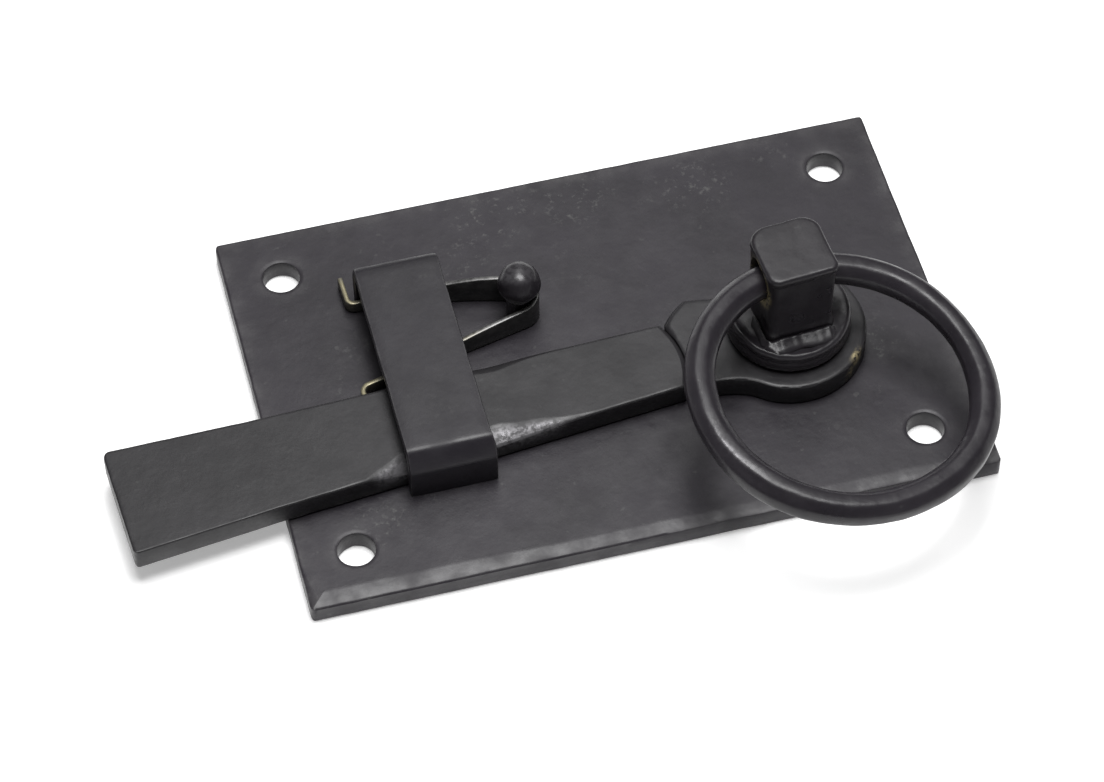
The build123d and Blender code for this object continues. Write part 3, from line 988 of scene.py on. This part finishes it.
def make_ring():
    m = Mesh()
    centre = CROSSING - RING_BACK * RING_RADIUS
    steps, around = 320, 48
    loops = []
    for i in range(steps):
        t = 2 * pi * i / steps
        angle = degrees(t)
        radial = HOLE * cos(t) + RING_BACK * sin(t)
        shift, swell = ring_shape(angle)
        quiet = 1 - 0.9 * angle_bump(angle, 90, 22)
        middle = centre + radial * (RING_RADIUS + shift * quiet)
        ring = []
        for k in range(around):
            p = 2 * pi * k / around
            phase = 0.16 * wobble((cos(t) * 20, sin(t) * 20, 0), 12, 81)
            wrapped = ((p + pi / 8 + phase) % (pi / 4)) - pi / 8
            facet = cos(pi / 8) / cos(wrapped)
            share = 0.50 + 0.30 * wobble((cos(t) * 30, sin(t) * 30, 3), 9, 82)
            share *= 0.4 + 0.6 * quiet
            place = (radial * (30 + 3.5 * cos(p))) + RING_NORMAL * (3.5 * sin(p))
            hammered = 0.11 * wobble(place, 5.5, 83) + 0.035 * wobble(place, 2.0, 84) - 0.05
            flat = angle_bump(angle, 216, 17) * angle_bump(degrees(p), 52, 26)
            radius = (RING_BAR + swell * quiet) * (1 + share * (facet - 1))
            radius += hammered * quiet - 0.28 * flat
            ring.append(middle + (radial * cos(p) + RING_NORMAL * sin(p)) * radius)
        loops.append(m.loop(ring))
    m.skin(loops + [loops[0]])
    return m.done("ring_forged", RING_IRON, 60)


def ring_polish_highlight(point, normal):
    """The place low on the left of the ring that hands have rubbed bright, painted lighter as a
    highlight on faces turned to the light.
    """
    offset = point - (CROSSING - RING_BACK * RING_RADIUS)
    angle = degrees(atan2(offset.dot(RING_BACK), offset.dot(HOLE))) % 360
    radial = HOLE * cos(radians(angle)) + RING_BACK * sin(radians(angle))
    lean = degrees(atan2(normal.dot(RING_NORMAL), normal.dot(radial)))
    return 0.95 * bump(angle, 198, 13) * bump(lean, 70, 14)


# rubbed iron with a painted highlight low on the ring's left
ring_handle = mark(make_ring(), "polish_and_highlight", ring_polish_highlight)
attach(ring_handle, "ring")
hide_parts("ring")

# ---- Hairpin spring -----------------------------------------------------------------------------


def heading_vector(heading):
    """Unit vector in the plate's plane at a heading in degrees."""
    return Vector((cos(radians(heading)), sin(radians(heading))))


def turn_from(point, heading, radius, sweep, step=8):
    """Points on an arc that leaves point along heading (degrees) and turns by sweep."""
    side = 1 if sweep > 0 else -1
    centre = point + heading_vector(heading + 90 * side) * radius
    count = max(3, round(abs(sweep) / step))
    points = []
    for i in range(1, count + 1):
        points.append(centre + heading_vector(heading - 90 * side + sweep * i / count) * radius)
    return points, heading + sweep


def spring_path():
    """Centre line from the tab along the upper leaf, round the bow, and back to the curl."""
    bow = Vector((BOW.x, BOW.y))
    start = bow + heading_vector(72) * BOW_RADIUS
    end = Vector((-49.5, 24.5))
    chord = end - start
    heading = 162.0
    swing = degrees(atan2(chord.y, chord.x)) - heading
    bend = chord.length / (2 * sin(radians(abs(swing))))
    upper, after = turn_from(start, heading, bend, 2 * swing, 0.8)
    tab, tab_heading = turn_from(end, after, 1.6, -86.0, 9)
    tip = tab[-1] + heading_vector(tab_heading) * 6.0
    path = [tip, tab[-1].lerp(tip, 0.66), tab[-1].lerp(tip, 0.33)] + tab[::-1] + upper[::-1]
    path += arc(bow, BOW_RADIUS, 72, -77.1, 34)
    root = path[-1]
    lower = -heading_vector(12.9)
    path += [root + lower * (39.0 * i / 40) for i in range(1, 41)]
    curl, _ = turn_from(path[-1], 192.9, 2.1, 128.0, 8)
    return path + curl


def strip_top(point, at, bow_at):
    """Height of the strip's upper edge: highest at the bow, lower towards both ends."""
    if at < bow_at:
        return 13.2 - 4.9 * smooth(-16.5, -50, point.x) ** 0.9
    return 8.3 + 3.3 * (1 - smooth(-12, -46, point.x)) ** 0.8


def make_spring():
    m = Mesh()
    path = spring_path()
    bow_at = min(range(len(path)), key=lambda i: -path[i].x)
    lower = 5.32
    loops = []
    for i, p in enumerate(path):
        before, after = path[max(i - 1, 0)], path[min(i + 1, len(path) - 1)]
        along = (after - before).normalized()
        side = Vector((along.y, -along.x))
        upper = strip_top(p, i, bow_at)
        if i >= bow_at:
            share = smooth(0, 22, i - bow_at)
            upper = min(13.15, 13.15 * (1 - share) + upper * share)
        upper -= 0.12 + 0.10 * abs(wobble((p.x, p.y, 0), 5, 91))
        half = 0.56 + 0.03 * wobble((p.x, p.y, 4), 2.5, 92)
        section = [
            (-half + 0.12, lower),
            (half - 0.12, lower),
            (half, lower + 0.15),
            (half, (lower + upper) / 2),
            (half, upper - 0.22),
            (half - 0.07, upper - 0.06),
            (half - 0.2, upper),
            (0, upper + 0.02),
            (-half + 0.2, upper),
            (-half + 0.07, upper - 0.06),
            (-half, upper - 0.22),
            (-half, (lower + upper) / 2),
            (-half, lower + 0.15),
        ]
        loops.append(m.loop([(p.x + side.x * s, p.y + side.y * s, z) for s, z in section]))
    m.skin(loops)
    m.cap(loops[0])
    m.cap(loops[-1])
    return m.done("hairpin_spring", SPRING_STEEL, 50)


def ground_edge_and_highlight(point, normal):
    """The strip's upper edge and its tab are ground bare and painted lighter: a painted highlight on
    the upward faces, kept dark over the bow as painted shade under the knob.
    """
    # painted highlight on upward faces, fading to painted shade over the bow under the knob
    edge = smooth(0.6, 0.9, normal.z) * (0.15 + 0.85 * smooth(-11.5, -16, point.x))
    return max(edge, 0.22 * smooth(-44, -50, point.x))


def heated_yellow(point, normal):
    """The tab and, less so, the curl took on colour when they were heated to bend."""
    curl = smooth(11.5, 9.0, point.y) * smooth(-22, -30, point.x)
    return max(smooth(-46, -51, point.x), 0.35 * curl)


spring = mark(mark(make_spring(), "ground_and_highlight", ground_edge_and_highlight), "heated", heated_yellow)
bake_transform(spring)
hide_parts("spring_upper_leaf", "spring_lower_leaf")

# ---- Knob on the bow ----------------------------------------------------------------------------


def make_knob():
    m = Mesh()
    loops = []
    profile = [(0.01, 5.35), (2.6, 5.35), (2.95, 5.6), (2.95, 9.0), (2.95, 12.4), (3.15, 12.9)]
    for i in range(3, 25):
        t = radians(-90 + 180 * i / 25)
        height = KNOB_CENTRE + KNOB_RADIUS * sin(t)
        if height > 13.0:
            profile.append((KNOB_RADIUS * cos(t), height))
    top = KNOB_CENTRE + KNOB_RADIUS
    profile.append((0.01, top))
    for radius, z in profile:
        squash = 0.30 * smooth(19.2, top, z)
        ring = []
        for k in range(44):
            a = 2 * pi * k / 44
            place = (radius * cos(a), radius * sin(a), z)
            r = radius
            if radius > 1 and z > 12:
                r += 0.34 * wobble(place, 2.7, 95) + 0.08 * wobble(place, 1.2, 96) - 0.05
            ring.append((BOW.x + r * cos(a), BOW.y + r * sin(a), z - squash))
        loops.append(m.loop(ring))
    m.skin(loops)
    m.cap(loops[0])
    m.cap(loops[-1])
    return m.done("bow_knob", HANDLE_IRON, 60)


# painted highlight on the knob's upward faces
knob = mark(make_knob(), "polish_and_highlight", lambda p, n: 0.3 * smooth(0.55, 0.95, n.z))
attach(knob, "snib")
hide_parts("spring_knob")

# ---- Rear washer keeps its CAD shape --------------------------------------------------------------

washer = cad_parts["rear_washer"]
washer.data.materials.clear()
washer.data.materials.append(HANDLE_IRON)

# ---- Floor, light and camera ----------------------------------------------------------------------

floor_mesh = bpy.data.meshes.new("floor")
floor_mesh.from_pydata([(-3, -3, 0), (3, -3, 0), (3, 3, 0), (-3, 3, 0)], [], [(0, 1, 2, 3)])
floor = bpy.data.objects.new("floor", floor_mesh)
floor.location.z = -0.00005
bpy.context.scene.collection.objects.link(floor)
floor_mesh.materials.append(WHITE)


def area_light(name, place, target, size, power):
    lamp = bpy.data.lights.new(name, "AREA")
    lamp.shape, lamp.size, lamp.energy = "SQUARE", size, power
    holder = bpy.data.objects.new(name, lamp)
    holder.location = place
    holder.rotation_euler = (Vector(target) - Vector(place)).to_track_quat("-Z", "Y").to_euler()
    bpy.context.scene.collection.objects.link(holder)


area_light("softbox_above", (0.05, 0.05, 0.95), (0, 0, 0), 0.50, 11.5)
area_light("softbox_behind", (0.16, 0.62, 0.86), (0, 0, 0), 0.42, 1.38)

world = bpy.data.worlds.new("studio")
world.use_nodes = True
bpy.context.scene.world = world
tree = world.node_tree
direction = tree.nodes.new("ShaderNodeTexCoord")
split = tree.nodes.new("ShaderNodeSeparateXYZ")
tree.links.new(direction.outputs["Generated"], split.inputs[0])
ramp = tree.nodes.new("ShaderNodeMapRange")
ramp.interpolation_type = "SMOOTHSTEP"
tree.links.new(split.outputs["Y"], ramp.inputs["Value"])
set_range(ramp, -0.8, 0.9, 0.13, 0.22)
tree.links.new(ramp.outputs["Result"], tree.nodes["Background"].inputs["Strength"])
tree.nodes["Background"].inputs["Color"].default_value = (1, 1, 1, 1)

# Camera: where it looks, from how far, and from which side, in metres and radians
AIM = Vector((-0.0118, -0.0044, 0))
DISTANCE = 0.8843
azimuth, elevation, roll = radians(-14.12), radians(53.41), radians(-0.40)
back = Vector((sin(azimuth) * cos(elevation), -cos(azimuth) * cos(elevation), sin(elevation)))
right = Vector((cos(azimuth), sin(azimuth), 0))
up = back.cross(right)
right, up = right * cos(roll) + up * sin(roll), up * cos(roll) - right * sin(roll)
lens = bpy.data.cameras.new("camera")
lens.lens, lens.sensor_width = 130.6, 36.0
lens.clip_start, lens.clip_end = 0.05, 20
camera = bpy.data.objects.new("camera", lens)
camera.rotation_mode = "QUATERNION"
camera.rotation_quaternion = Matrix((right, up, back)).transposed().to_quaternion()
camera.location = AIM + back * DISTANCE
bpy.context.scene.collection.objects.link(camera)
bpy.context.scene.camera = camera
bpy.context.scene.view_settings.view_transform = "Standard"

bpy.context.view_layer.update()
